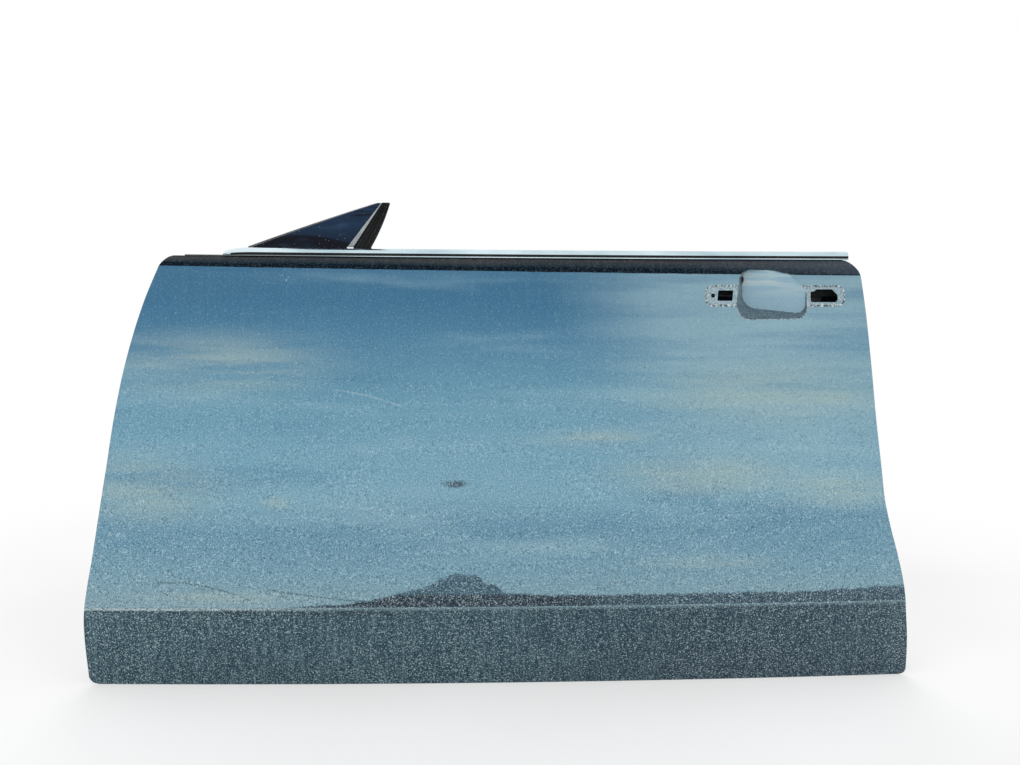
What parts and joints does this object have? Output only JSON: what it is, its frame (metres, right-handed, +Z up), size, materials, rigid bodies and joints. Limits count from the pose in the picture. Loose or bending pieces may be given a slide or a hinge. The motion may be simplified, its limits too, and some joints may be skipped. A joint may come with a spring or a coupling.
{
  "type": "car door shell",
  "caption": "Front left door shell of a frameless coupe: hemmed skin with a handle scoop, inner panel, beam, guides, waist seals, bright moulding and sail.",
  "frame": {"origin": "middle of the upper hinge's seat, on the front shut face", "axes": "+X towards the rear of the car, +Y into the car, +Z up; the outer skin faces -Y"},
  "size_m": [1.386, 0.1568, 0.7985],
  "materials": {
    "body_paint": "gloss dark blue paint over clear coat, dusty low down",
    "sail_gloss": "gloss dark blue",
    "inner_paint": "dark blue paint, less glossy",
    "bright_trim": "polished, a little dull",
    "grey_trim": "satin light grey",
    "black_rubber": "matt black",
    "primed_steel": "dark primer on steel",
    "mastic": "matt sealing mastic"
  },
  "bodies": {
    "root": {"outer_skin": "body_paint", "sail_panel": "sail_gloss", "inner_panel": "inner_paint", "waist_moulding": "bright_trim", "sail_edge_strip": "grey_trim", "outer_waist_seal": "black_rubber", "inner_waist_seal": "black_rubber", "sail_seal": "black_rubber", "front_glass_run": "black_rubber", "rear_glass_run": "black_rubber", "outer_waist_reinforcement": "primed_steel", "inner_waist_reinforcement": "primed_steel", "sail_bracket": "primed_steel", "front_glass_guide": "primed_steel", "front_guide_bracket": "primed_steel", "rear_glass_guide": "primed_steel", "rear_guide_bracket": "primed_steel", "intrusion_beam": "primed_steel", "beam_front_bracket": "primed_steel", "beam_rear_bracket": "primed_steel", "anti_flutter_pad_1": "mastic", "anti_flutter_pad_2": "mastic", "anti_flutter_pad_3": "mastic", "damping_pad": "mastic", "hinge_reinforcement": "primed_steel", "upper_hinge_nut_plate": "primed_steel", "lower_hinge_nut_plate": "primed_steel", "latch_reinforcement": "primed_steel", "handle_front_doubler": "primed_steel", "handle_rear_doubler": "primed_steel", "blanking_plug_1": "black_rubber", "blanking_plug_2": "black_rubber", "blanking_plug_3": "black_rubber", "blanking_plug_4": "black_rubber"}
  },
  "joints": []
}
